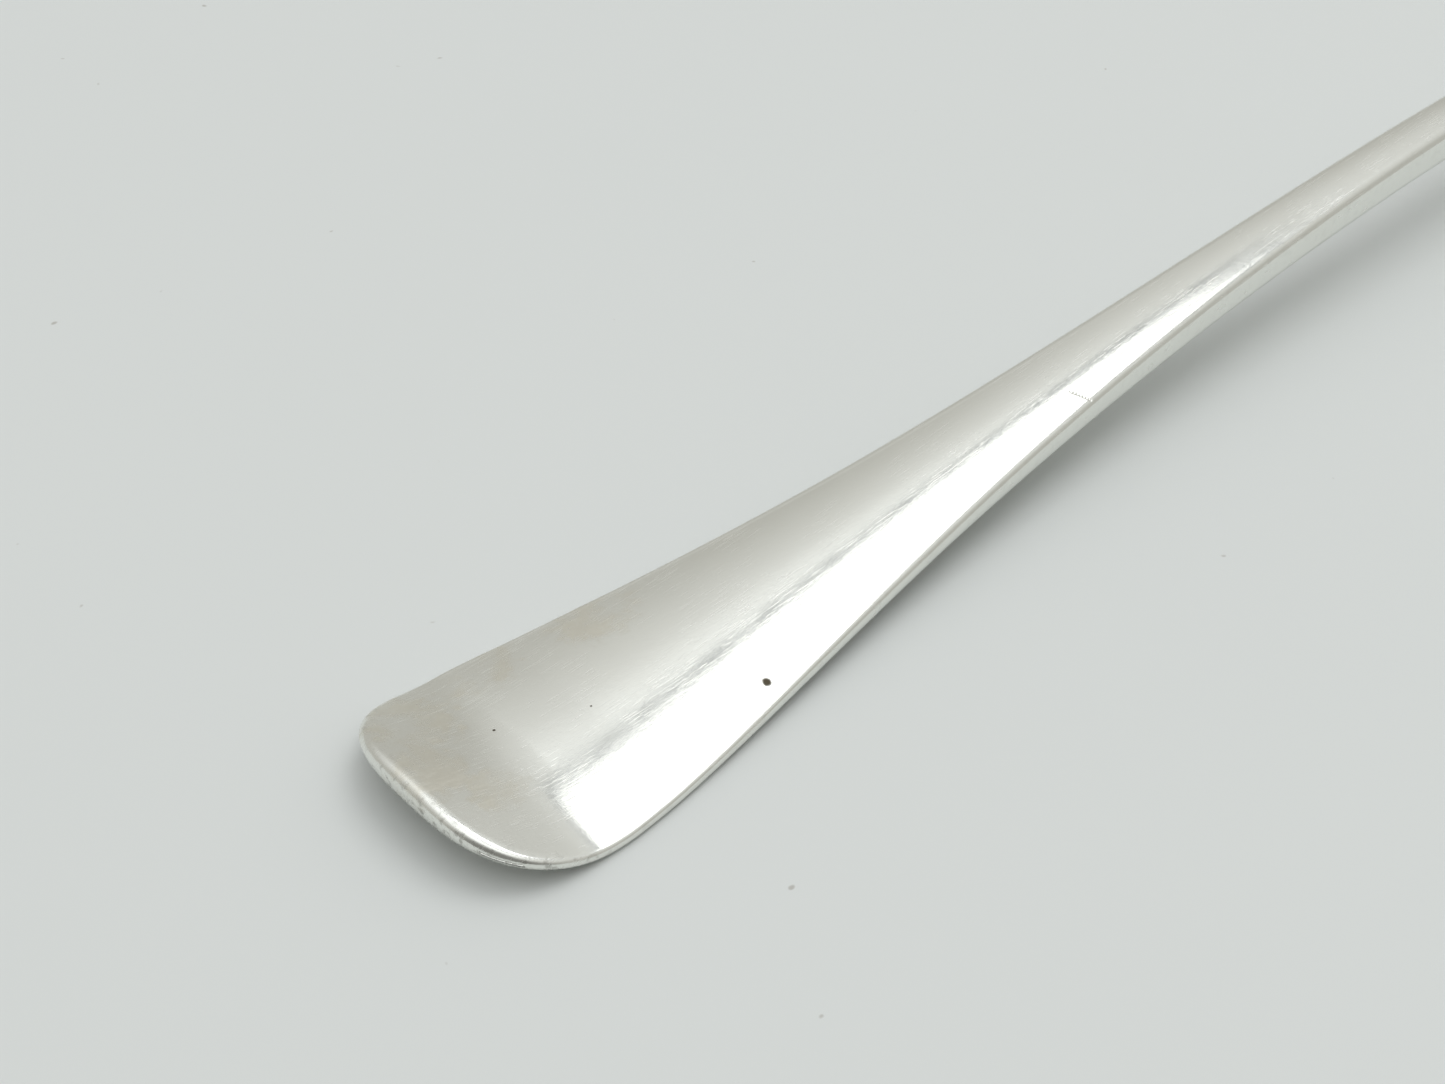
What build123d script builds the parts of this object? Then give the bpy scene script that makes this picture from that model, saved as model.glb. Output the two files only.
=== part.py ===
from build123d import *
import math
import os

# Long-handled silver spoon, millimetres. It lies face up: +X runs from the
# turned-up handle end to the bowl, +Z is up, and y = 0 is its mirror plane.
# Every x below is measured from the handle end until the last step.

# ---- overall sizes ----
LENGTH = 280.0          # handle end to bowl tip
BOWL_LENGTH = 50.0
BOWL_WIDTH = 31.0
BOWL_DEPTH = 9.2        # rim to underside, outside
END_WIDTH = 21.2        # the spatulate end at its widest

# ---- handle ----
STEM_WIDTH = 4.2        # at the slimmest
HEEL_WIDTH = 6.4        # where the stem meets the bowl
END_THICK = 2.3         # along the ridge, at the end
STEM_THICK = 4.0
END_CROWN = 1.5         # fall from ridge to edge, at the end
STEM_CROWN = 0.35
CROWN_RUN = 75.0        # crown dies away over this length
RIDGE_SOFTNESS = 0.9    # share of the half-width rounded over at the ridge
TIP_LENGTH = 10.5       # end outline runs round within this length
TIP_SQUARENESS = 3.0    # 2 is an ellipse, higher is squarer
FLARE = 40.0            # how slowly the end narrows to the stem
FLARE_POWER = 1.37
TURN_UP_ANGLE = 19.0    # degrees, at the end
FOLD_X = 8.0            # where the end turns up
FOLD_SOFTNESS = 1.0
REST_X = 13.0           # the handle touches the table here
STEM_LIFT = 6.9         # underside height of the stem
LIFT_RUN = 113.0        # length over which the stem rises
LIFT_POWER = 1.45
WEAR = 0.05             # metal worn off where it rests

# ---- bowl ----
SHEET = 1.2
WIDEST_FROM_HEEL = 21.0
BOWL_BULGE = 13.0       # vertical half-axis of the egg the bowl is cut from
BOWL_WEAR = 0.09

# ---- drop on the bowl's back ----
DROP_LENGTH = 15.0
DROP_END_WIDTH = 3.0
DROP_THICK = 0.9


def smooth(t):
    t = min(max(t, 0.0), 1.0)
    return 3 * t * t - 2 * t ** 3


HEEL_X = LENGTH - BOWL_LENGTH
BLANK_END = HEEL_X + WIDEST_FROM_HEEL / 2


def to_stem(x):
    return smooth((x - 10) / 120)


def half_width(x):
    """Half-width of the handle beyond its rounded end."""
    run = max(x - TIP_LENGTH, 0)
    stem = STEM_WIDTH / 2
    flare = (END_WIDTH / 2 - stem) * math.exp(-(run / FLARE) ** FLARE_POWER)
    heel = (HEEL_WIDTH - STEM_WIDTH) / 2 * smooth((x - HEEL_X + 45) / 45)
    return stem + flare + heel


def underside(x):
    """Height of the handle's flat underside above the table."""
    rise = math.sin(math.pi / 2 * min(max((x - REST_X) / LIFT_RUN, 0), 1))
    fold = FOLD_SOFTNESS * math.log1p(math.exp((FOLD_X - x) / FOLD_SOFTNESS))
    turned = math.tan(math.radians(TURN_UP_ANGLE)) * fold
    meet = BOWL_DEPTH - STEM_THICK - STEM_LIFT + WEAR
    fall = meet * smooth((x - REST_X - LIFT_RUN) / (HEEL_X - REST_X - LIFT_RUN))
    return STEM_LIFT * rise ** LIFT_POWER + turned + fall - WEAR


def thickness(x):
    return END_THICK + (STEM_THICK - END_THICK) * to_stem(x)


def crown(share):
    """Fall of the face from ridge (0) to edge (1): two flats, soft ridge."""
    k = RIDGE_SOFTNESS
    return (math.hypot(1, share / k) - 1) / (math.hypot(1, 1 / k) - 1)


def blank_section(x):
    """Section of the forged blank, a little wider than the finished handle."""
    w = half_width(x)
    wide = 1.06 * w + 0.3
    z0, t = underside(x), thickness(x)
    c = END_CROWN + (STEM_CROWN - END_CROWN) * smooth((x - 10) / CROWN_RUN)
    tops = [(s * wide, z0 + t - c * crown(abs(s) * wide / w))
            for s in (1, 0.66, 0.33, 0, -0.33, -0.66, -1)]
    with BuildSketch(Plane(origin=(x, 0, 0), x_dir=(0, 1, 0),
                           z_dir=(1, 0, 0))) as section:
        with BuildLine():
            Polyline(tops[-1], (-wide, z0), (wide, z0), tops[0])
            Spline(*tops)
        make_face()
    return section.sketch


def end_outline():
    """Rounded-square end and long flared sides, seen from above."""
    w0 = END_WIDTH / 2
    power = 2 / TIP_SQUARENESS
    tip = []
    for i in range(17):
        a = math.pi * (i / 16 - 0.5)
        y = math.copysign(w0 * abs(math.sin(a)) ** power, a)
        tip.append((TIP_LENGTH * (1 - abs(math.cos(a)) ** power), y))
    tip[0], tip[-1] = (TIP_LENGTH, -w0), (TIP_LENGTH, w0)
    stations = [TIP_LENGTH + (BLANK_END - TIP_LENGTH) * (i / 16) ** 1.4
                for i in range(17)]
    side = [(x, half_width(x)) for x in stations]
    with BuildSketch() as plan:
        with BuildLine():
            Spline(*tip, tangents=((-1, 0), (1, 0)))
            Spline(*side, tangents=((1, 0), (1, 0)))
            Line(side[-1], (side[-1][0], -side[-1][1]))
            Spline(*[(x, -y) for x, y in side], tangents=((1, 0), (1, 0)))
        make_face()
    return plan.sketch


def egg(shrink):
    """Egg the bowl is cut from, its skin moved inward by shrink."""
    height = BOWL_BULGE - BOWL_WEAR - BOWL_DEPTH
    k = math.sqrt(1 - (height / BOWL_BULGE) ** 2)
    halves = []
    widest = HEEL_X + WIDEST_FROM_HEEL
    for length, side in ((WIDEST_FROM_HEEL, -1),
                         (BOWL_LENGTH - WIDEST_FROM_HEEL, 1)):
        ball = scale(Sphere(1), by=(length / k - shrink,
                                    BOWL_WIDTH / 2 / k - shrink,
                                    BOWL_BULGE - shrink))
        ball = Pos(widest, 0, BOWL_BULGE - BOWL_WEAR) * ball
        keep = Pos(widest + side * LENGTH / 2, 0, BOWL_DEPTH / 2) * Box(
            LENGTH, 2 * BOWL_WIDTH, BOWL_DEPTH)
        halves.append(ball & keep)
    return halves[0] + halves[1]


# ---- handle: flared blank trimmed to its outline ----
fold_stations = [FOLD_X + step for step in (-10, -7, -4, -2, 0, 2, 4, 7)]
stations = fold_stations + [
    FOLD_X + 11 + (HEEL_X - FOLD_X - 11) * (i / 12) ** 1.3 for i in range(13)]
stations.append(BLANK_END)
blank = loft([blank_section(x) for x in stations])
trim = extrude(end_outline(), 2 * (STEM_LIFT + STEM_THICK))
handle = blank & trim

# ---- bowl: raised shell with an even wall ----
outer = egg(0)
bowl = outer - egg(SHEET)

# The stem is scarfed to the bowl's outside and stops at its rim.
opening = extrude(Pos(0, 0, BOWL_DEPTH) * section(outer, Plane.XY.offset(
    BOWL_DEPTH - 0.01)).moved(Location((0, 0, -BOWL_DEPTH + 0.01))), LENGTH / 10)
handle = handle - outer - opening

# ---- drop: rounded tongue that carries the stem on to the bowl's back ----
drop_end = HEEL_X + DROP_LENGTH
with BuildSketch() as tongue:
    with BuildLine():
        a, b = HEEL_WIDTH / 2 - 0.4, DROP_END_WIDTH / 2
        Polyline((drop_end - b, -b), (HEEL_X - 1, -a), (HEEL_X - 1, a),
                 (drop_end - b, b))
        ThreePointArc((drop_end - b, b), (drop_end, 0), (drop_end - b, -b))
    make_face()
drop = extrude(tongue.sketch, BOWL_DEPTH - 1)
drop = (drop & egg(-DROP_THICK)) - outer - handle

# ---- row frame: centre of the footprint, on the table ----
os.makedirs("parts", exist_ok=True)
for name, solid in (("handle", handle), ("bowl", bowl), ("drop", drop)):
    placed = Pos(-LENGTH / 2, 0, 0) * solid
    box = placed.bounding_box()
    print(name, len(placed.solids()), round(placed.volume, 1),
          [round(v, 3) for v in (*box.min, *box.max)])
    export_step(placed, f"parts/{name}.step")
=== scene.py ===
import math
import bpy
import bmesh
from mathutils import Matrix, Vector


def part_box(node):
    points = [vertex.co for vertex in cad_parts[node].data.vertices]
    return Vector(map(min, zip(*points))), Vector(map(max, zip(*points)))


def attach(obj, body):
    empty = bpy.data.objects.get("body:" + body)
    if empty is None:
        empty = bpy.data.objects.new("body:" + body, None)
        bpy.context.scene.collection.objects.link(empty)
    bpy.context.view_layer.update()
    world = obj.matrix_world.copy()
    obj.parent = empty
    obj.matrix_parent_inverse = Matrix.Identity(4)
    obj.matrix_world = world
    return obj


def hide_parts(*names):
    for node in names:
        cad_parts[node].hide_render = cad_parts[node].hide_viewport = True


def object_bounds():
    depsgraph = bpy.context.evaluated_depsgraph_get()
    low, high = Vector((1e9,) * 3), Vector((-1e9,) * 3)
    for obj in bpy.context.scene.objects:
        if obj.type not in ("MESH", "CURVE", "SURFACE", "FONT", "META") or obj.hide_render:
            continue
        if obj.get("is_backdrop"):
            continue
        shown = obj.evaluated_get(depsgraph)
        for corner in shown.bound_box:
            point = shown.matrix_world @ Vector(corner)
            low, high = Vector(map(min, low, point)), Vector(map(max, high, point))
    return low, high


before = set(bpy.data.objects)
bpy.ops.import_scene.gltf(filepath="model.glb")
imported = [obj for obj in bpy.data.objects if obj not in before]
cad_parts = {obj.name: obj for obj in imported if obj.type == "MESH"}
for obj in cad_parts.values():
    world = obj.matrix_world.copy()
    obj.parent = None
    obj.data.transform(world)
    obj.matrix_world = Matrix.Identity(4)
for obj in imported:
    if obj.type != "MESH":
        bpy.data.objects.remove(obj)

low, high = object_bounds()
scene = bpy.context.scene

# ---------------------------------------------------------------------------
# Handle. One forged bar of silver: a slim stem that flares to a rounded-square
# end, crowned along a soft ridge on its face, flat behind, its end turned up.
# ---------------------------------------------------------------------------

MM = 0.001
LENGTH = (high[0] - low[0]) / MM             # turned-up end to tip of bowl
END_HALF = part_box("handle")[1][1] / MM       # half-width of the flared end
STEM_HALF = 2.1
HEEL_HALF = 3.2
END_THICK, STEM_THICK = 2.3, 4.0
END_CROWN, STEM_CROWN, CROWN_RUN = 1.5, 0.35, 75.0
RIDGE_SOFTNESS = 0.9
TIP_LENGTH, TIP_SQUARENESS = 10.5, 3.0
FLARE, FLARE_POWER = 40.0, 1.37
TURN_UP_SLOPE = math.tan(math.radians(19))
FOLD_X, FOLD_SOFTNESS = 8.0, 1.0
REST_X, WEAR = 13.0, 0.05
STEM_LIFT, LIFT_RUN, LIFT_POWER = 6.9, 113.0, 1.45
RIM_END, RIM_STEM = 0.75, 1.15               # radius of the rubbed edges
BOWL_LENGTH, BOWL_DEPTH = 50.0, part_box("bowl")[1][2] / MM
HEEL_X = LENGTH - BOWL_LENGTH
HEEL_FLARE = 45.0                            # run of the widening at the heel
CHANGE_FROM, THICKEN_RUN = 10.0, 120.0       # where thickness and crown change
EDGE_ROOM = 2.05                             # least thickness per edge radius


def along(x_mm):
    """Place on X in metres, from millimetres off the turned-up end."""
    return low[0] + x_mm * MM


def smooth(t):
    t = min(max(t, 0.0), 1.0)
    return 3 * t * t - 2 * t ** 3


def to_stem(x):
    return smooth((x - CHANGE_FROM) / THICKEN_RUN)


def half_width(x):
    run = max(x - TIP_LENGTH, 0)
    flare = (END_HALF - STEM_HALF) * math.exp(-(run / FLARE) ** FLARE_POWER)
    near = smooth((x - HEEL_X + HEEL_FLARE) / HEEL_FLARE)
    return STEM_HALF + flare + (HEEL_HALF - STEM_HALF) * near


def underside(x):
    rise = math.sin(math.pi / 2 * min(max((x - REST_X) / LIFT_RUN, 0), 1))
    fold = FOLD_SOFTNESS * math.log1p(math.exp((FOLD_X - x) / FOLD_SOFTNESS))
    turned = TURN_UP_SLOPE * fold
    meet = BOWL_DEPTH - STEM_THICK - STEM_LIFT + WEAR
    falling = HEEL_X - REST_X - LIFT_RUN
    fall = meet * smooth((x - REST_X - LIFT_RUN) / falling)
    return max(STEM_LIFT * rise ** LIFT_POWER + turned + fall - WEAR, 0.0)


def thickness(x):
    return END_THICK + (STEM_THICK - END_THICK) * to_stem(x)


def crown(share):
    k = RIDGE_SOFTNESS
    return (math.hypot(1, share / k) - 1) / (math.hypot(1, 1 / k) - 1)


def handle_face(x, y):
    """Height of the crowned face above the table, in millimetres."""
    flat = smooth((x - CHANGE_FROM) / CROWN_RUN)
    fall = END_CROWN + (STEM_CROWN - END_CROWN) * flat
    return underside(x) + thickness(x) - fall * crown(abs(y) / half_width(x))


SIDE_STEPS, END_STEPS = 300, 96              # mesh columns
FACE_STEPS, EDGE_STEPS, BACK_STEPS = 26, 6, 12


def end_outline_points():
    """Outline from heel round the end and back, each with its spine place."""
    sides = [HEEL_X - 1 - (HEEL_X - 1 - TIP_LENGTH) * i / SIDE_STEPS
             for i in range(SIDE_STEPS)]
    points = [(x, half_width(x), x) for x in sides]
    power = 2 / TIP_SQUARENESS
    for i in range(END_STEPS + 1):
        a = math.pi * (0.5 - i / END_STEPS)
        x = TIP_LENGTH * (1 - abs(math.cos(a)) ** power)
        y = math.copysign(half_width(x) * abs(math.sin(a)) ** power, a)
        points.append((x, y, TIP_LENGTH))
    points += [(x, -half_width(x), x) for x in reversed(sides)]
    return points


# Sizes of the bowl, wanted here because the stem beds in its back.
SHEET, WIDEST_FROM_HEEL = 1.2, 21.0
BOWL_WIDTH = (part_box("bowl")[1][1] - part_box("bowl")[0][1]) / MM
BOWL_BULGE, BOWL_WEAR = 13.0, 0.09
EGG_CENTRE = BOWL_BULGE - BOWL_WEAR
LEAST_SHARE = 0.01                           # stops short of the egg's own rim


def egg_axes():
    """Back, front, side and vertical half-axes of the egg."""
    k = math.sqrt(1 - ((EGG_CENTRE - BOWL_DEPTH) / BOWL_BULGE) ** 2)
    return (WIDEST_FROM_HEEL / k, (BOWL_LENGTH - WIDEST_FROM_HEEL) / k,
            BOWL_WIDTH / 2 / k, BOWL_BULGE)


def egg_back(y, z):
    """x of the bowl's back at that y and z, in millimetres."""
    a, _, b, c = egg_axes()
    share = 1 - (y / b) ** 2 - ((z - EGG_CENTRE) / c) ** 2
    return HEEL_X + WIDEST_FROM_HEEL - a * math.sqrt(max(share, LEAST_SHARE))


def half_section(x, y, spine):
    """Points from the ridge over the rubbed edge to the middle of the back."""
    reach = math.hypot(x - spine, y)
    ux, uy = (x - spine) / reach, y / reach
    top, bottom = handle_face(x, y), underside(x)
    rubbed = RIM_END + (RIM_STEM - RIM_END) * to_stem(x)
    r = min(rubbed, (top - bottom) / EDGE_ROOM)
    points = []
    for i in range(FACE_STEPS + 1):
        d = (reach - r) * i / FACE_STEPS
        px, py = spine + ux * d, uy * d
        points.append((px, py, handle_face(px, py)))
    edge_z = points[-1][2]
    for i in range(1, EDGE_STEPS + 1):
        a = math.pi / 2 * (1 - i / EDGE_STEPS)
        d = reach - r + r * math.cos(a)
        points.append((spine + ux * d, uy * d, edge_z - r + r * math.sin(a)))
    for i in range(EDGE_STEPS + 1):
        a = -math.pi / 2 * i / EDGE_STEPS
        d = reach - r + r * math.cos(a)
        px, py = spine + ux * d, uy * d
        points.append((px, py, underside(px) + r + r * math.sin(a)))
    for i in range(1, BACK_STEPS + 1):
        d = (reach - r) * (1 - i / BACK_STEPS)
        px, py = spine + ux * d, uy * d
        points.append((px, py, underside(px)))
    return points


def mesh_object(name, mesh, material):
    mesh.materials.clear()
    mesh.materials.append(material)
    mesh.shade_smooth()
    obj = bpy.data.objects.new(name, mesh)
    scene.collection.objects.link(obj)
    return obj


columns = [half_section(*point) for point in end_outline_points()]
# The last columns at both ends run on to bed in the bowl's back.
BED_STEPS, BED_DEPTH, BELOW_RIM = 8, SHEET / 3, 0.05
for at_start in (True, False):
    last = columns[0] if at_start else columns[-1]
    for i in range(1, BED_STEPS + 1):
        run = []
        for x, y, z in last:
            goal = egg_back(y, min(z, BOWL_DEPTH)) + BED_DEPTH
            px = x + (goal - x) * i / BED_STEPS
            run.append((px, y, min(z, BOWL_DEPTH - BELOW_RIM)))
        if at_start:
            columns.insert(0, run)
        else:
            columns.append(run)

# "rim" marks the edge for a speckled darkening, partly grime and partly painted dark
# reflection, most of all round the end.
MID_RIM, RIM_SPREAD = FACE_STEPS + EDGE_STEPS, 8
DARK_RIM_FROM, DARK_RIM_RUN, STEM_GRIME_AND_PAINTED_REFLECTION = 5, 9, 0.12
WELD = 0.000004                              # metres
bm = bmesh.new()
rim_layer = bm.verts.layers.float.new("rim")
rows = []
for column in columns:
    row = []
    for j, (x, y, z) in enumerate(column):
        v = bm.verts.new((along(x), y * MM, z * MM))
        near_rim = max(0.0, 1 - abs(j - MID_RIM) / RIM_SPREAD)
        near_end = 1 - smooth((x - DARK_RIM_FROM) / DARK_RIM_RUN)
        v[rim_layer] = near_rim * (STEM_GRIME_AND_PAINTED_REFLECTION + (1 - STEM_GRIME_AND_PAINTED_REFLECTION) * near_end)
        row.append(v)
    rows.append(row)
for a, b in zip(rows, rows[1:]):
    for j in range(len(a) - 1):
        bm.faces.new((a[j], b[j], b[j + 1], a[j + 1]))
bmesh.ops.remove_doubles(bm, verts=bm.verts, dist=WELD)
open_edges = [e for e in bm.edges if e.is_boundary]
bmesh.ops.holes_fill(bm, edges=open_edges, sides=0)
bmesh.ops.recalc_face_normals(bm, faces=bm.faces)
handle_mesh = bpy.data.meshes.new("silver_handle")
bm.to_mesh(handle_mesh)
bm.free()


# The handle's surface, shared by the bowl and the drop. Old sterling, polished
# many times: a soft mirror covered with fine scratches, small dings, pits, and
# brownish tarnish where cloths miss.
SILVER = (0.865, 0.87, 0.825, 1)
TARNISH = (0.60, 0.53, 0.38, 1)
# Dark colour for the pits, a real deposit, and for the rim, where it is partly grime and
# partly painted dark reflection.
DEPOSIT_AND_DARK_REFLECTION = (0.10, 0.085, 0.06, 1)
FILM_TINT, RIM_GRIME_AND_PAINTED_REFLECTION = 0.34, 0.4
# Roughness of the polish, and what haze, scratches, film and the dark mask of pits and rim
# add to it.
POLISH, HAZE, SCRATCHED, FILMED, FOULED = 0.09, 0.16, 0.25, 0.16, 0.35
# Relief of dings and grain, and how deep scratches, nicks and pits cut in.
DINGS, GRAIN, SCRATCH_CUT, NICK_CUT, PIT_CUT = 0.5, 0.30, 0.25, 2.5, 1.2
RELIEF, RELIEF_HEIGHT = 0.35, 0.00006        # share, metres
SCRATCH_SCALE = (420, 9000, 1500)            # long along X, fine across
PATCH_SCALE = (170, 170, 170)


def new_group(name, inputs, outputs):
    """An empty shader group with named sockets, and its two end nodes."""
    tree = bpy.data.node_groups.new(name, "ShaderNodeTree")
    for title, kind, value in inputs:
        socket = tree.interface.new_socket(title, in_out="INPUT",
                                           socket_type=kind)
        if value is not None:
            socket.default_value = value
    for title, kind in outputs:
        tree.interface.new_socket(title, in_out="OUTPUT", socket_type=kind)
    start = tree.nodes.new("NodeGroupInput")
    end = tree.nodes.new("NodeGroupOutput")
    return tree, start, end


def math_node(tree, operation, a, b=None, clamp=False):
    node = tree.nodes.new("ShaderNodeMath")
    node.operation, node.use_clamp = operation, clamp
    for socket, value in zip(node.inputs, (a, b)):
        if value is None:
            continue
        if isinstance(value, (int, float)):
            socket.default_value = value
        else:
            tree.links.new(value, socket)
    return node.outputs[0]


def ramp(tree, value, start, end):
    """0 at start, 1 at end, eased."""
    node = tree.nodes.new("ShaderNodeMapRange")
    node.interpolation_type = "SMOOTHSTEP"
    tree.links.new(value, node.inputs["Value"])
    for name, v in (("From Min", start), ("From Max", end)):
        if isinstance(v, (int, float)):
            node.inputs[name].default_value = v
        else:
            tree.links.new(v, node.inputs[name])
    return node.outputs["Result"]


def noise(tree, vector, scale, detail=3.0, rough=0.55):
    node = tree.nodes.new("ShaderNodeTexNoise")
    node.inputs["Scale"].default_value = scale
    node.inputs["Detail"].default_value = detail
    node.inputs["Roughness"].default_value = rough
    tree.links.new(vector, node.inputs["Vector"])
    return node.outputs["Fac"]


def stretched(tree, vector, turn, squeeze):
    """Coordinates turned about Z and drawn out along the new X."""
    node = tree.nodes.new("ShaderNodeMapping")
    node.inputs["Rotation"].default_value = (0, 0, turn)
    node.inputs["Scale"].default_value = squeeze
    tree.links.new(vector, node.inputs["Vector"])
    return node.outputs["Vector"]


def scratch_group():
    """Fine scratches in several directions, as a 0-1 mask and a height."""
    tree, start, end = new_group(
        "fine scratches",
        (("Vector", "NodeSocketVector", None),
         ("Amount", "NodeSocketFloat", 0.5)),
        (("Mask", "NodeSocketFloat"), ("Height", "NodeSocketFloat")))
    lines = []
    for turn, scale in ((0.15, 1.0), (0.9, 0.8), (1.9, 1.2), (2.6, 0.9)):
        drawn = stretched(tree, start.outputs["Vector"], turn,
                          tuple(scale * s for s in SCRATCH_SCALE))
        fine = noise(tree, drawn, 1.0, 1.0, 0.3)
        patch = noise(tree, stretched(tree, start.outputs["Vector"], turn,
                                      PATCH_SCALE), 1.0, 1.0)
        line = math_node(tree, "MULTIPLY", ramp(tree, fine, 0.63, 0.72),
                         ramp(tree, patch, 0.45, 0.62))
        lines.append(line)
    total = lines[0]
    for line in lines[1:]:
        total = math_node(tree, "MAXIMUM", total, line)
    mask = math_node(tree, "MULTIPLY", total, start.outputs["Amount"])
    tree.links.new(mask, end.inputs["Mask"])
    tree.links.new(math_node(tree, "MULTIPLY", mask, -1.0),
                   end.inputs["Height"])
    return tree


def tarnish_group():
    """Cloudy brownish film, thin on the faces and denser where asked."""
    tree, start, end = new_group(
        "tarnish film",
        (("Vector", "NodeSocketVector", None),
         ("Amount", "NodeSocketFloat", 0.2),
         ("Where", "NodeSocketFloat", 0.0)),
        (("Mask", "NodeSocketFloat"),))
    cloud = noise(tree, start.outputs["Vector"], 230, 5, 0.62)
    wide = noise(tree, start.outputs["Vector"], 60, 2, 0.5)
    film = math_node(tree, "MULTIPLY", ramp(tree, wide, 0.40, 0.72),
                     ramp(tree, cloud, 0.38, 0.70))
    spot = math_node(tree, "MULTIPLY", start.outputs["Where"],
                     ramp(tree, cloud, 0.34, 0.60))
    film = math_node(tree, "MULTIPLY", film, start.outputs["Amount"])
    tree.links.new(math_node(tree, "ADD", film, spot, True),
                   end.inputs["Mask"])
    return tree


def spot_group():
    """Soft round mask about a place on the spoon, in object metres."""
    tree, start, end = new_group(
        "place",
        (("Vector", "NodeSocketVector", None),
         ("Centre", "NodeSocketVector", None),
         ("Radius", "NodeSocketFloat", 0.002),
         ("Edge", "NodeSocketFloat", 0.5)),
        (("Mask", "NodeSocketFloat"),))
    gap = tree.nodes.new("ShaderNodeVectorMath")
    gap.operation = "DISTANCE"
    tree.links.new(start.outputs["Vector"], gap.inputs[0])
    tree.links.new(start.outputs["Centre"], gap.inputs[1])
    share = math_node(tree, "DIVIDE", gap.outputs["Value"],
                      start.outputs["Radius"])
    ragged = noise(tree, start.outputs["Vector"], 900, 3)
    ragged = math_node(tree, "SUBTRACT", ragged, 0.5)
    ragged = math_node(tree, "MULTIPLY", ragged, start.outputs["Edge"])
    share = math_node(tree, "ADD", share, ragged)
    tree.links.new(math_node(tree, "SUBTRACT", 1.0,
                             ramp(tree, share, 0.55, 1.0)), end.inputs["Mask"])
    return tree


SCRATCHES, FILM, PLACE = scratch_group(), tarnish_group(), spot_group()


def use(material, group, vector, **values):
    node = material.node_tree.nodes.new("ShaderNodeGroup")
    node.node_tree = group
    material.node_tree.links.new(vector, node.inputs["Vector"])
    for name, value in values.items():
        socket = node.inputs[name]
        if isinstance(value, (int, float, tuple, Vector)):
            socket.default_value = value
        else:
            material.node_tree.links.new(value, socket)
    return node


def mix_colour(tree, factor, a, b):
    node = tree.nodes.new("ShaderNodeMix")
    node.data_type = "RGBA"
    tree.links.new(factor, node.inputs["Factor"])
    for socket, value in ((node.inputs[6], a), (node.inputs[7], b)):
        if isinstance(value, tuple):
            socket.default_value = value
        else:
            tree.links.new(value, socket)
    return node.outputs[2]


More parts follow.
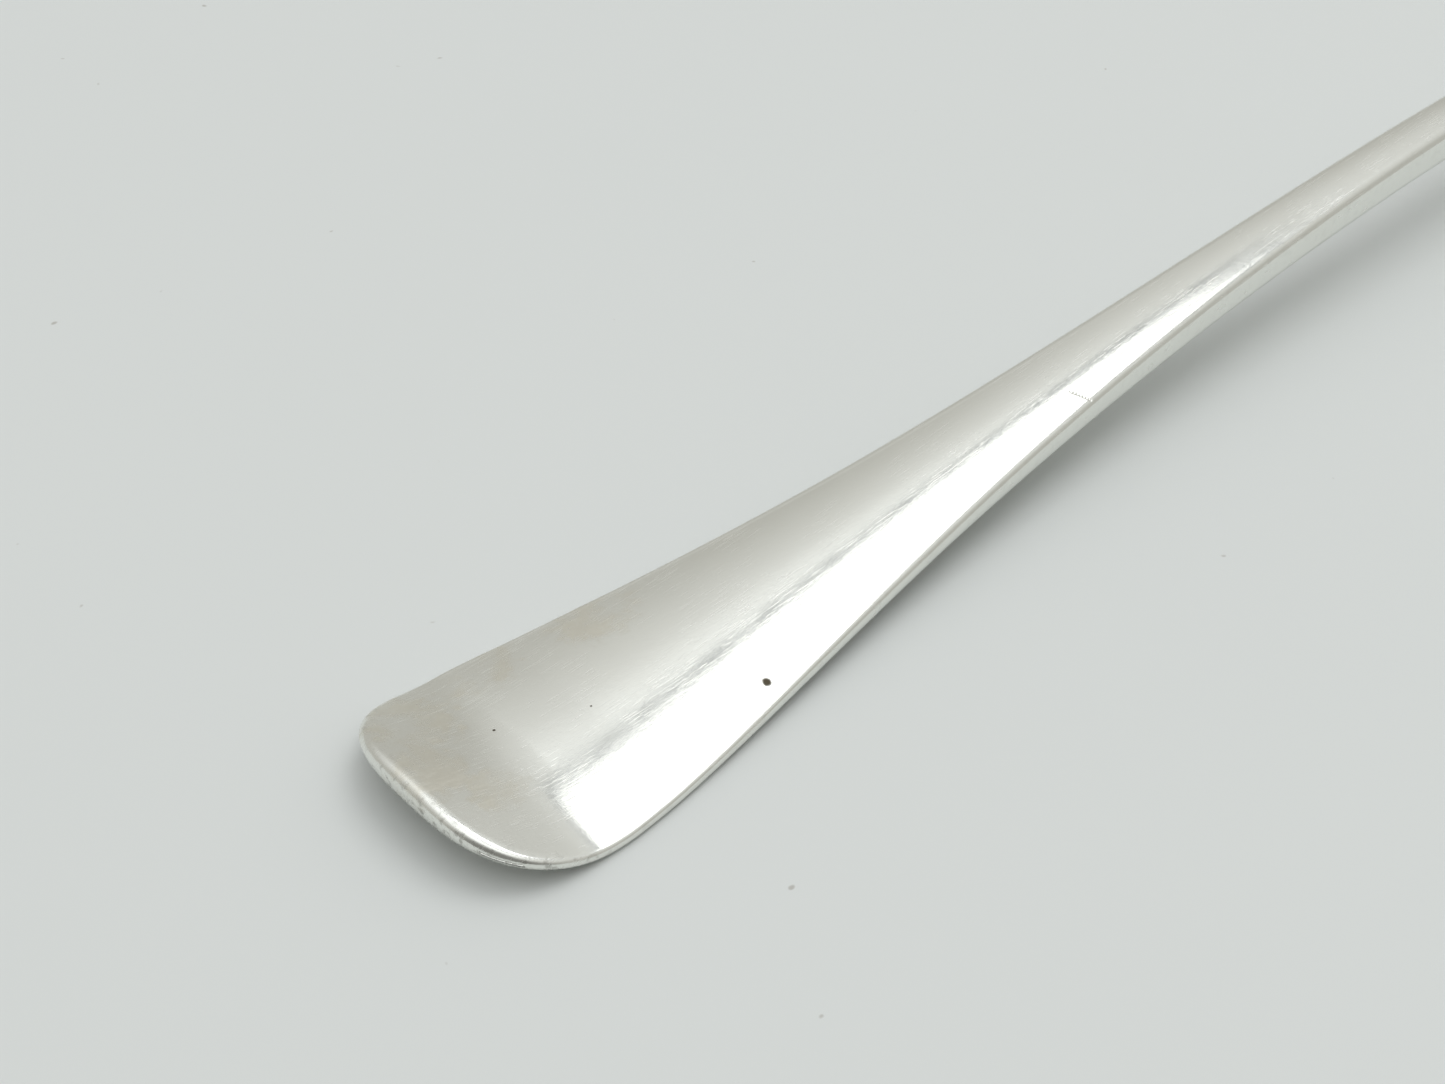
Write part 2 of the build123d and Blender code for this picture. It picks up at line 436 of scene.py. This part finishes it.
def silver(name, scratches, film, stains=(), pits=(), nicks=(), rim=False):
    """Worn silver. stains, pits and nicks are (x, y, z, radius) in metres."""
    material = bpy.data.materials.new(name)
    material.use_nodes = True
    tree = material.node_tree
    shader = tree.nodes["Principled BSDF"]
    shader.inputs["Metallic"].default_value = 1.0
    place = tree.nodes.new("ShaderNodeTexCoord").outputs["Object"]

    marks = use(material, SCRATCHES, place, Amount=scratches)
    where = None
    for x, y, z, radius in stains:
        spot = use(material, PLACE, place, Centre=(x, y, z), Radius=radius,
                   Edge=1.2).outputs["Mask"]
        where = (spot if where is None else
                 math_node(tree, "MAXIMUM", where, spot))
    film_node = use(material, FILM, place, Amount=film)
    if where is not None:
        tree.links.new(where, film_node.inputs["Where"])
    film_mask = film_node.outputs["Mask"]
    tint = math_node(tree, "MULTIPLY", film_mask, FILM_TINT)
    colour = mix_colour(tree, tint, SILVER, TARNISH)

    deposit_and_painted_rim = None
    for x, y, z, radius in pits:
        pit = use(material, PLACE, place, Centre=(x, y, z), Radius=radius,
                  Edge=0.9).outputs["Mask"]
        deposit_and_painted_rim = pit if deposit_and_painted_rim is None else math_node(tree, "MAXIMUM", deposit_and_painted_rim, pit)
    # Along the rim a speckled darkening is painted: partly grime, partly a painted dark
    # reflection of the room.
    if rim:
        edge = tree.nodes.new("ShaderNodeAttribute")
        edge.attribute_name = "rim"
        speckle = noise(tree, place, 1400, 4)
        rim_grime_and_painted_reflection = math_node(tree, "MULTIPLY", edge.outputs["Fac"],
                          ramp(tree, speckle, 0.52, 0.66))
        rim_grime_and_painted_reflection = math_node(tree, "MULTIPLY", rim_grime_and_painted_reflection, RIM_GRIME_AND_PAINTED_REFLECTION)
        deposit_and_painted_rim = (rim_grime_and_painted_reflection if deposit_and_painted_rim is None else
                math_node(tree, "MAXIMUM", deposit_and_painted_rim, rim_grime_and_painted_reflection))
    if deposit_and_painted_rim is not None:
        colour = mix_colour(tree, deposit_and_painted_rim, colour, DEPOSIT_AND_DARK_REFLECTION)
    tree.links.new(colour, shader.inputs["Base Color"])

    haze = noise(tree, place, 420, 4, 0.6)
    rough = math_node(tree, "MULTIPLY", haze, HAZE)
    rough = math_node(tree, "ADD", rough, POLISH)
    rough = math_node(tree, "ADD", rough,
                      math_node(tree, "MULTIPLY", marks.outputs["Mask"],
                                SCRATCHED))
    rough = math_node(tree, "ADD", rough,
                      math_node(tree, "MULTIPLY", film_mask, FILMED))
    if deposit_and_painted_rim is not None:
        rough = math_node(tree, "ADD", rough,
                          math_node(tree, "MULTIPLY", deposit_and_painted_rim, FOULED))
    tree.links.new(rough, shader.inputs["Roughness"])

    dings = noise(tree, place, 170, 2, 0.45)
    fine = noise(tree, place, 2400, 3, 0.7)
    height = math_node(tree, "MULTIPLY", dings, DINGS)
    for x, y, z, radius in nicks:
        nick = use(material, PLACE, place, Centre=(x, y, z), Radius=radius,
                   Edge=0.5).outputs["Mask"]
        height = math_node(tree, "SUBTRACT", height,
                           math_node(tree, "MULTIPLY", nick, NICK_CUT))
    height = math_node(tree, "ADD", height,
                       math_node(tree, "MULTIPLY", fine, GRAIN))
    height = math_node(tree, "ADD", height,
                       math_node(tree, "MULTIPLY", marks.outputs["Height"],
                                 SCRATCH_CUT))
    if deposit_and_painted_rim is not None:
        height = math_node(tree, "SUBTRACT", height,
                           math_node(tree, "MULTIPLY", deposit_and_painted_rim, PIT_CUT))
    bump = tree.nodes.new("ShaderNodeBump")
    bump.inputs["Strength"].default_value = RELIEF
    bump.inputs["Distance"].default_value = RELIEF_HEIGHT
    tree.links.new(height, bump.inputs["Height"])
    tree.links.new(bump.outputs["Normal"], shader.inputs["Normal"])
    return material


def on_face(x, y):
    """A place on the handle's face, in object metres."""
    return (along(x), y * MM, handle_face(x, y) * MM)


handle_silver = silver(
    "worn silver, handle", scratches=0.5, film=0.10,
    stains=[(*on_face(4.5, 6.5), 0.0045), (*on_face(2.5, 0.5), 0.0035),
            (*on_face(5.5, -3.0), 0.0030), (*on_face(12, 9.2), 0.0040),
            (*on_face(22, 7.4), 0.0040)],
    pits=[(*on_face(26.5, -6.8), 0.00042), (*on_face(9.0, 2.2), 0.00014),
          (*on_face(15.5, -0.5), 0.00012)],
    nicks=[(*on_face(63.9 + 0.1 * i, -2.1 - 0.25 * i), 0.00022)
           for i in range(7)],
    rim=True)
handle = mesh_object("handle_forging", handle_mesh, handle_silver)
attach(handle, "root")
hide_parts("handle")

# ---------------------------------------------------------------------------
# Bowl. Raised from silver sheet into the half of an egg, wide towards the
# stem, with a rolled lip; its even wall is laid out by rule from two numbers,
# the way round the egg and the way over the lip.
# ---------------------------------------------------------------------------


GRID_ROUND, GRID_OVER = 181, 261             # mesh points each way
LIP_START, LIP_END = -0.014, 0.055           # where the wall turns over


def bowl_tree(material):
    """Node tree that bends a flat grid into the bowl's closed shell."""
    tree = bpy.data.node_groups.new("raised bowl", "GeometryNodeTree")
    tree.interface.new_socket("Geometry", in_out="INPUT",
                              socket_type="NodeSocketGeometry")
    for name, value in (("Back", 22), ("Front", 30), ("Side", 16),
                        ("Bulge", 13), ("Sheet", 1.2), ("Opening", 1.2),
                        ("Centre X", 0), ("Centre Z", 13)):
        socket = tree.interface.new_socket(name, in_out="INPUT",
                                           socket_type="NodeSocketFloat")
        socket.default_value = value
    tree.interface.new_socket("Geometry", in_out="OUTPUT",
                              socket_type="NodeSocketGeometry")
    nodes, links = tree.nodes, tree.links
    size = nodes.new("NodeGroupInput").outputs

    grid = nodes.new("GeometryNodeMeshGrid")
    for name, value in (("Size X", 1), ("Size Y", 1),
                        ("Vertices X", GRID_ROUND), ("Vertices Y", GRID_OVER)):
        grid.inputs[name].default_value = value
    flat = nodes.new("ShaderNodeSeparateXYZ")
    links.new(nodes.new("GeometryNodeInputPosition").outputs[0],
              flat.inputs[0])

    def calc(operation, a, b=None, c=None):
        node = nodes.new("ShaderNodeMath")
        node.operation = operation
        for socket, value in zip(node.inputs, (a, b, c)):
            if isinstance(value, (int, float)):
                socket.default_value = value
            elif value is not None:
                links.new(value, socket)
        return node.outputs[0]

    turn = calc("MULTIPLY", calc("ADD", flat.outputs["X"], 0.5), 2 * math.pi)
    over = calc("MULTIPLY", flat.outputs["Y"], 2)      # -1 outside, 1 inside
    lip = nodes.new("ShaderNodeMapRange")
    lip.interpolation_type = "SMOOTHSTEP"
    lip.inputs["From Min"].default_value = LIP_START
    lip.inputs["From Max"].default_value = LIP_END
    links.new(over, lip.inputs["Value"])
    inward = calc("MULTIPLY", lip.outputs["Result"], size["Sheet"])
    climb = calc("SUBTRACT", 1, calc("ABSOLUTE", over))
    climb = calc("MULTIPLY", climb, size["Opening"])
    out, up = calc("SINE", climb), calc("COSINE", climb)
    ahead, aside = calc("COSINE", turn), calc("SINE", turn)
    forward = calc("GREATER_THAN", ahead, 0)
    reach = calc("MULTIPLY_ADD", forward,
                 calc("SUBTRACT", size["Front"], size["Back"]), size["Back"])

    def shell(axis, *shares):
        value = calc("SUBTRACT", axis, inward)
        for share in shares:
            value = calc("MULTIPLY", value, share)
        return value

    x = calc("MULTIPLY", shell(reach, out, ahead), MM)
    x = calc("ADD", size["Centre X"], x)
    y = calc("MULTIPLY", shell(size["Side"], out, aside), MM)
    z = calc("SUBTRACT", size["Centre Z"], shell(size["Bulge"], up))
    z = calc("MULTIPLY", calc("MAXIMUM", z, 0), MM)
    place = nodes.new("ShaderNodeCombineXYZ")
    for socket, value in zip(place.inputs, (x, y, z)):
        links.new(value, socket)

    bend = nodes.new("GeometryNodeSetPosition")
    links.new(grid.outputs["Mesh"], bend.inputs["Geometry"])
    links.new(place.outputs[0], bend.inputs["Position"])
    weld = nodes.new("GeometryNodeMergeByDistance")
    weld.inputs["Distance"].default_value = WELD
    real = nodes.new("GeometryNodeRealizeInstances")
    paint = nodes.new("GeometryNodeSetMaterial")
    paint.inputs["Material"].default_value = material
    chain = (bend, weld, real, paint, nodes.new("NodeGroupOutput"))
    for a, b in zip(chain, chain[1:]):
        links.new(a.outputs[0], b.inputs[0])
    return tree


bowl_silver = silver("worn silver, bowl", scratches=0.9, film=0.15,
                     stains=[(along(HEEL_X + 6), 0.006, 0.006, 0.006)])
carrier = bpy.data.objects.new("bowl carrier", bpy.data.meshes.new("carrier"))
scene.collection.objects.link(carrier)
modifier = carrier.modifiers.new("raise", "NODES")
modifier.node_group = bowl_tree(bowl_silver)
back, front, side, bulge = egg_axes()
bowl_sizes = {"Back": back, "Front": front, "Side": side, "Bulge": bulge,
              "Sheet": SHEET, "Centre Z": EGG_CENTRE,
              "Centre X": along(HEEL_X + WIDEST_FROM_HEEL),
              "Opening": math.acos((EGG_CENTRE - BOWL_DEPTH) / BOWL_BULGE)}
for item in modifier.node_group.interface.items_tree:
    if item.item_type == "SOCKET" and item.name in bowl_sizes:
        modifier[item.identifier] = float(bowl_sizes[item.name])
bpy.context.view_layer.update()
depsgraph = bpy.context.evaluated_depsgraph_get()
bowl_mesh = bpy.data.meshes.new_from_object(carrier.evaluated_get(depsgraph))
bpy.data.objects.remove(carrier)
bm = bmesh.new()
bm.from_mesh(bowl_mesh)
bmesh.ops.recalc_face_normals(bm, faces=bm.faces)
bm.to_mesh(bowl_mesh)
bm.free()
bowl = mesh_object("raised_bowl", bowl_mesh, bowl_silver)
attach(bowl, "root")
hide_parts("bowl")

# ---------------------------------------------------------------------------
# Drop. A tongue of silver soldered on the bowl's back where the stem lands.
# ---------------------------------------------------------------------------

drop_silver = silver("worn silver, drop", scratches=0.8, film=0.5)
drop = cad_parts["drop"]
drop.data.materials.clear()
drop.data.materials.append(drop_silver)

# ---------------------------------------------------------------------------
# Table. Pale matt board, faintly mottled, with the odd crumb of dust.
# ---------------------------------------------------------------------------

TABLE_GREY = (0.70, 0.722, 0.714, 1)
MOTTLE_GREY = (0.60, 0.62, 0.613, 1)
CRUMB_BROWN = (0.35, 0.32, 0.28, 1)
MOTTLING, CRUMBS = 0.10, 0.6
table_paint = bpy.data.materials.new("pale board")
table_paint.use_nodes = True
tree = table_paint.node_tree
shader = tree.nodes["Principled BSDF"]
shader.inputs["Roughness"].default_value = 0.6
shader.inputs["Specular IOR Level"].default_value = 0.25
place = tree.nodes.new("ShaderNodeTexCoord").outputs["Object"]
mottle = noise(tree, place, 28, 4)
speck = ramp(tree, noise(tree, place, 520, 1), 0.80, 0.84)
shade = mix_colour(tree, math_node(tree, "MULTIPLY", mottle, MOTTLING),
                   TABLE_GREY, MOTTLE_GREY)
shade = mix_colour(tree, math_node(tree, "MULTIPLY", speck, CRUMBS), shade,
                   CRUMB_BROWN)
tree.links.new(shade, shader.inputs["Base Color"])
table_mesh = bpy.data.meshes.new("table")
SPAN, BELOW = 1.5, -0.00002                  # half-size, just under the spoon
corners = ((-SPAN, -SPAN), (SPAN, -SPAN), (SPAN, SPAN), (-SPAN, SPAN))
table_mesh.from_pydata([(x, y, BELOW) for x, y in corners], [],
                       [(0, 1, 2, 3)])
table = mesh_object("table", table_mesh, table_paint)
table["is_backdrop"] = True

# ---------------------------------------------------------------------------
# Light and camera. One softbox high over the stem with a grey frame round it,
# a room that is greyer towards its walls, and a camera close to the end.
# ---------------------------------------------------------------------------

END = Vector((low[0], 0, 0))
LIGHT_AZIMUTH, LIGHT_ELEVATION = 2, 65       # degrees, from the end
LIGHT_AWAY, FRAME_AWAY = 1.0, 1.01           # metres
LIGHT_WIDE, LIGHT_DEEP, LIGHT_POWER = 0.62, 0.56, 1.8
FRAME_WIDE, FRAME_DEEP = 0.075, 0.06         # border round the softbox
FRAME_GREY = (0.34, 0.36, 0.39, 1)
ROOM_LOW, ROOM_LOW_AT = (0.455, 0.452, 0.425, 1), 0.35
ROOM_WALL, ROOM_WALL_AT = (0.68, 0.685, 0.67, 1), 0.71
ROOM_TOP, ROOM_TOP_AT = (1.10, 1.12, 1.12, 1), 0.90
ROOM_DARK, DARK_SIDE = (0.20, 0.20, 0.19, 1), (-0.67, -0.74, 0.0)
BACKDROP, ROOM_STRENGTH = (0.67, 0.68, 0.675, 1), 1.10
CAMERA_AWAY = Vector((-0.0520, -0.0892, 0.1126))
PITCH, TURN = math.radians(40.58), math.radians(42.02)
LENS_ANGLE, SENSOR = math.radians(36), 36


def towards(azimuth, elevation, distance):
    a, e = math.radians(azimuth), math.radians(elevation)
    return END + distance * Vector((math.cos(a) * math.cos(e),
                                    math.sin(a) * math.cos(e), math.sin(e)))


def hung(obj, distance):
    """Hangs a light or its frame high over the stem, facing the end."""
    obj.location = towards(LIGHT_AZIMUTH, LIGHT_ELEVATION, distance)
    aim = (END - obj.location).to_track_quat("-Z", "Y")
    obj.rotation_euler = aim.to_euler()


box = bpy.data.lights.new("softbox", "AREA")
box.shape, box.energy = "RECTANGLE", LIGHT_POWER
box.size, box.size_y = LIGHT_WIDE, LIGHT_DEEP
softbox = bpy.data.objects.new("softbox", box)
scene.collection.objects.link(softbox)
hung(softbox, LIGHT_AWAY)

# The frame round the softbox, a dull grey border seen only in reflections.
card_paint = bpy.data.materials.new("softbox frame")
card_paint.use_nodes = True
shader = card_paint.node_tree.nodes["Principled BSDF"]
shader.inputs["Base Color"].default_value = FRAME_GREY
card_mesh = bpy.data.meshes.new("frame")
w, h = 0.5 * box.size + FRAME_WIDE, 0.5 * box.size_y + FRAME_DEEP
card_mesh.from_pydata([(-w, -h, 0), (w, -h, 0), (w, h, 0), (-w, h, 0)], [],
                      [(0, 1, 2, 3)])
card = mesh_object("softbox_frame", card_mesh, card_paint)
hung(card, FRAME_AWAY)
card.visible_camera = False
card.visible_diffuse = False
card.visible_shadow = False
card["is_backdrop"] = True

world = bpy.data.worlds.new("room")
scene.world = world
world.use_nodes = True
tree = world.node_tree
room = tree.nodes["Background"]
direction = tree.nodes.new("ShaderNodeSeparateXYZ")
outward = tree.nodes.new("ShaderNodeTexCoord").outputs["Generated"]
tree.links.new(outward, direction.inputs[0])
rise = tree.nodes.new("ShaderNodeValToRGB")
tree.links.new(direction.outputs["Z"], rise.inputs["Fac"])
rise.color_ramp.elements[0].position = ROOM_LOW_AT
rise.color_ramp.elements[0].color = ROOM_LOW
rise.color_ramp.elements[1].position = ROOM_TOP_AT
rise.color_ramp.elements[1].color = ROOM_TOP
middle = rise.color_ramp.elements.new(ROOM_WALL_AT)
middle.color = ROOM_WALL
# The room is darker on the side the spoon's end faces.
dim = tree.nodes.new("ShaderNodeVectorMath")
dim.operation = "DOT_PRODUCT"
tree.links.new(outward, dim.inputs[0])
dim.inputs[1].default_value = DARK_SIDE
behind = ramp(tree, dim.outputs["Value"], 0.35, 0.85)
around = mix_colour(tree, behind, rise.outputs["Color"], ROOM_DARK)
ray = tree.nodes.new("ShaderNodeLightPath")
seen = mix_colour(tree, ray.outputs["Is Camera Ray"], around, BACKDROP)
tree.links.new(seen, room.inputs["Color"])
room.inputs["Strength"].default_value = ROOM_STRENGTH

lens = bpy.data.cameras.new("camera")
lens.sensor_width, lens.angle = SENSOR, LENS_ANGLE
lens.clip_start, lens.clip_end = 0.005, 10
camera = bpy.data.objects.new("camera", lens)
camera.location = END + CAMERA_AWAY
camera.rotation_euler = (math.pi / 2 - PITCH, 0, -TURN)
scene.collection.objects.link(camera)
scene.camera = camera
scene.view_settings.view_transform = "Standard"

low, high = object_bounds()
